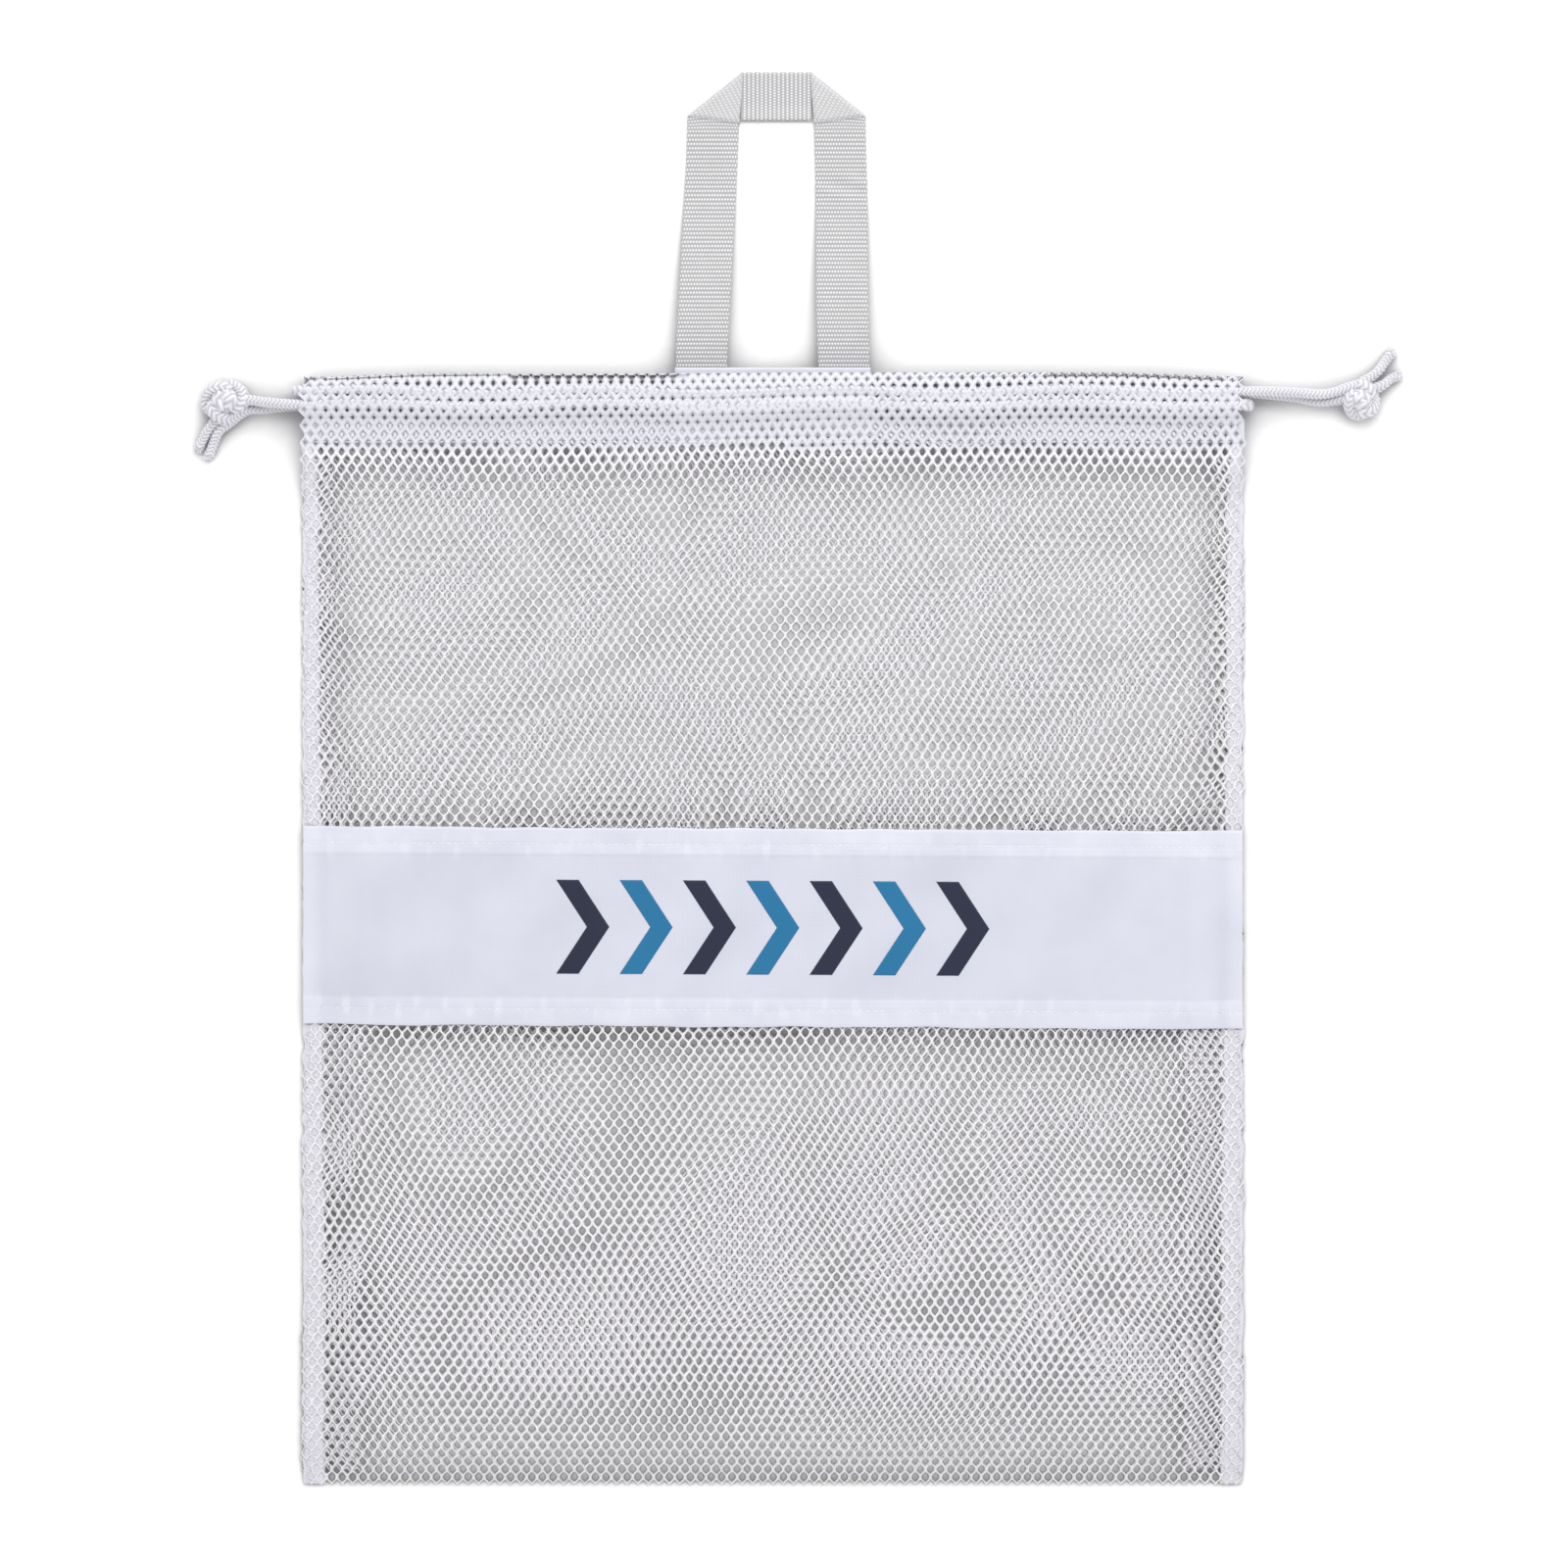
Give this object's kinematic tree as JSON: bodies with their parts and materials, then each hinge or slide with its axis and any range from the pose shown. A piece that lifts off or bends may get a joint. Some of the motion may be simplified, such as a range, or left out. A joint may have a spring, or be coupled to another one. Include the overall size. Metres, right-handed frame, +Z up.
{
  "type": "mesh laundry bag",
  "caption": "Flat mesh laundry bag with a drawcord hem, opposed pull cords with knots, a woven front band with a plain print and a webbing carry loop.",
  "frame": {"origin": "under the middle of the bag and its handle together, on the surface that the bag lies on", "axes": "+X along the mouth towards the right cord, +Y from the bottom fold to the handle, +Z up through the thickness towards the printed front"},
  "size_m": [0.5941, 0.694, 0.0182],
  "materials": {
    "mesh": "white polyester warp-knit hexagonal mesh, matte yarn with a slight sheen",
    "hem_mesh": "the same white mesh, doubled over the cords in the hem",
    "seam_cloth": "mesh edges rolled and overlocked with white thread",
    "band_cloth": "smooth white plain-weave polyester, faint lavender cast, satin",
    "patch_cloth": "white plain-weave polyester",
    "print_ink": "flat screen print in dark navy and mid blue",
    "thread": "white polyester sewing thread",
    "webbing": "white woven polypropylene webbing with a raised rib",
    "cord": "white braided polyester cord"
  },
  "bodies": {
    "root": {"back_panel": "mesh", "bottom_fold": "mesh", "lower_front_panel": "mesh", "upper_front_panel": "mesh", "printed_band": "band_cloth", "band_side_ends": "band_cloth", "band_print": "print_ink", "left_side_seam": "seam_cloth", "right_side_seam": "seam_cloth", "back_hem": "hem_mesh", "back_hem_facing": "hem_mesh", "front_hem": "hem_mesh", "front_hem_facing": "hem_mesh", "front_hem_stitching": "thread", "back_hem_stitching": "thread", "band_top_stitching": "thread", "band_bottom_stitching": "thread", "left_seam_stitching": "thread", "right_seam_stitching": "thread", "handle_strap_ends": "webbing", "handle_patch": "patch_cloth", "patch_stitching": "thread"},
    "left_pull": {"left_drawcord": "cord", "left_knot": "cord"},
    "right_pull": {"right_drawcord": "cord", "right_knot": "cord"},
    "handle": {"handle_strap": "webbing"}
  },
  "joints": [
    {"name": "left_cord_pull", "type": "slide", "parent": "root", "child": "left_pull", "axis": [-1, 0, 0], "range_m": [0, 0.12], "deforming": ["back_hem_facing", "front_hem_facing"]},
    {"name": "right_cord_pull", "type": "slide", "parent": "root", "child": "right_pull", "axis": [1, 0, 0], "range_m": [0, 0.12], "deforming": ["back_hem_facing", "front_hem_facing"]},
    {"name": "handle_swing", "type": "hinge", "parent": "root", "child": "handle", "pos_m": [0, 0.211, 0.0074], "axis": [1, 0, 0], "range_deg": [0, 135]}
  ]
}
